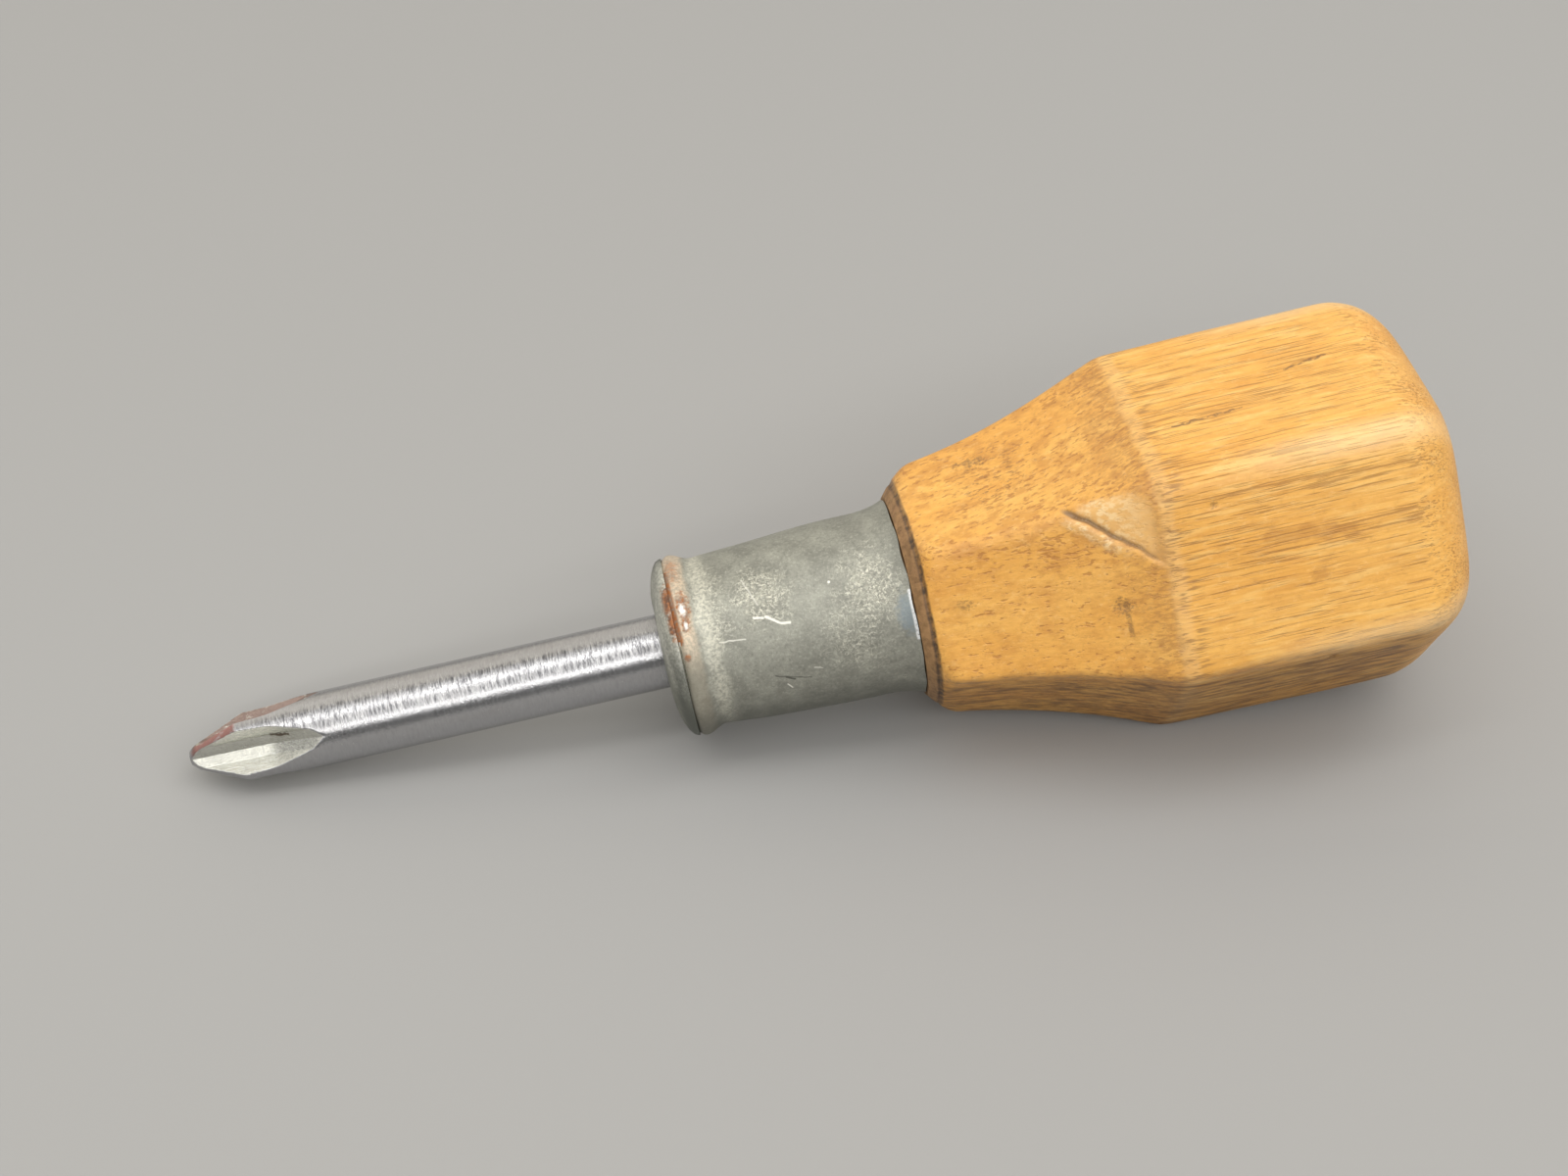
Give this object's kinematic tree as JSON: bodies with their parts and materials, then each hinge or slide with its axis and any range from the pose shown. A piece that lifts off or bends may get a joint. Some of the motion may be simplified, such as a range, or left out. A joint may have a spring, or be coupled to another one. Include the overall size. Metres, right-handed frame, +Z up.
{
  "type": "screwdriver",
  "caption": "Stubby cross-point screwdriver with a hexagonal wooden grip, a flared steel ferrule and a short round blade.",
  "frame": {"origin": "centre of the bounding box at the surface that the tool rests on", "axes": "+Z up; the blade points towards -X and the grip lies towards +X, with the tool's axis in the XZ plane, tipped point down by 8.41 degrees as it rests on the front edge of its lowest facet and on its point"},
  "size_m": [0.1018, 0.0322, 0.0304],
  "materials": {
    "lacquered_wood": "satin",
    "galvanised_steel": "matte",
    "chromed_steel": "gloss"
  },
  "bodies": {
    "root": {"handle": "lacquered_wood", "ferrule": "galvanised_steel", "ferrule_cap": "galvanised_steel", "blade": "chromed_steel"}
  },
  "joints": []
}
